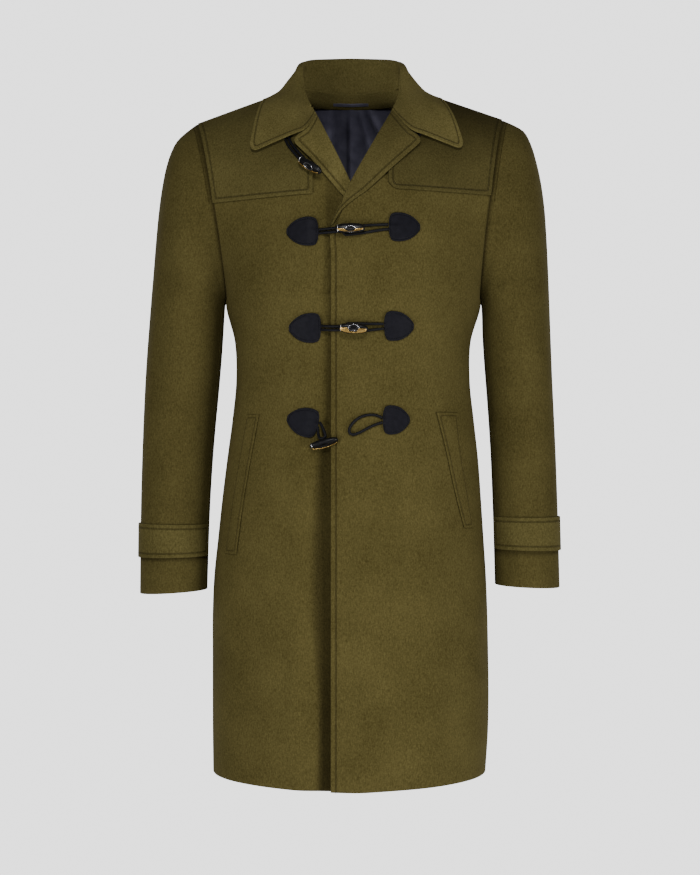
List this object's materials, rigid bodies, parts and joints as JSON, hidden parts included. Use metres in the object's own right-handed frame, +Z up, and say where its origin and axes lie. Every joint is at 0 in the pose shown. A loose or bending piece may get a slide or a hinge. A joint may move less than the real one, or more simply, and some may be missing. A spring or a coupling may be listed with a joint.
{
  "type": "duffle coat",
  "caption": "Knee-length wool duffle coat with a notched collar, toggle fastenings, front yokes, slanted pocket welts and cuff straps, filled out as if worn.",
  "frame": {"origin": "between the shoulders, at the height where a wearer's neck and shoulders hold the coat up", "axes": "+Z up, -Y out of the coat's front, +X towards the wearer's left"},
  "size_m": [0.6296, 0.3169, 1.0865],
  "materials": {
    "melton": "olive-green felted wool melton, matt",
    "lining": "dark navy satin lining",
    "patch": "navy-black smooth leather",
    "cord": "navy-black braided round cord",
    "toggle": "polished black",
    "plate": "gold-tone metal"
  },
  "bodies": {
    "root": {"front_left": "melton", "front_right": "melton", "back_left": "melton", "back_right": "melton", "sleeve_left_top": "melton", "sleeve_left_under": "melton", "sleeve_right_top": "melton", "sleeve_right_under": "melton", "collar": "melton", "lapel_left": "melton", "lapel_right": "melton", "yoke_left": "melton", "yoke_right": "melton", "welt_left": "melton", "welt_right": "melton", "cuff_strap_left": "melton", "cuff_strap_right": "melton", "neck_facing": "melton", "lining": "lining", "hanger_loop": "lining", "patch_1_left": "patch", "patch_1_right": "patch", "patch_2_left": "patch", "patch_2_right": "patch", "patch_3_left": "patch", "patch_3_right": "patch", "patch_4_left": "patch", "patch_4_right": "patch", "toggle_1": "toggle", "toggle_2": "toggle", "toggle_3": "toggle", "toggle_4": "toggle", "toggle_plate_1": "plate", "toggle_plate_2": "plate", "toggle_plate_3": "plate", "toggle_plate_4": "plate", "toggle_cord_1": "cord", "toggle_cord_2": "cord", "toggle_cord_3": "cord", "toggle_cord_4": "cord", "loop_cord_1": "cord", "loop_cord_2": "cord", "loop_cord_3": "cord", "loop_cord_4": "cord"}
  },
  "joints": []
}
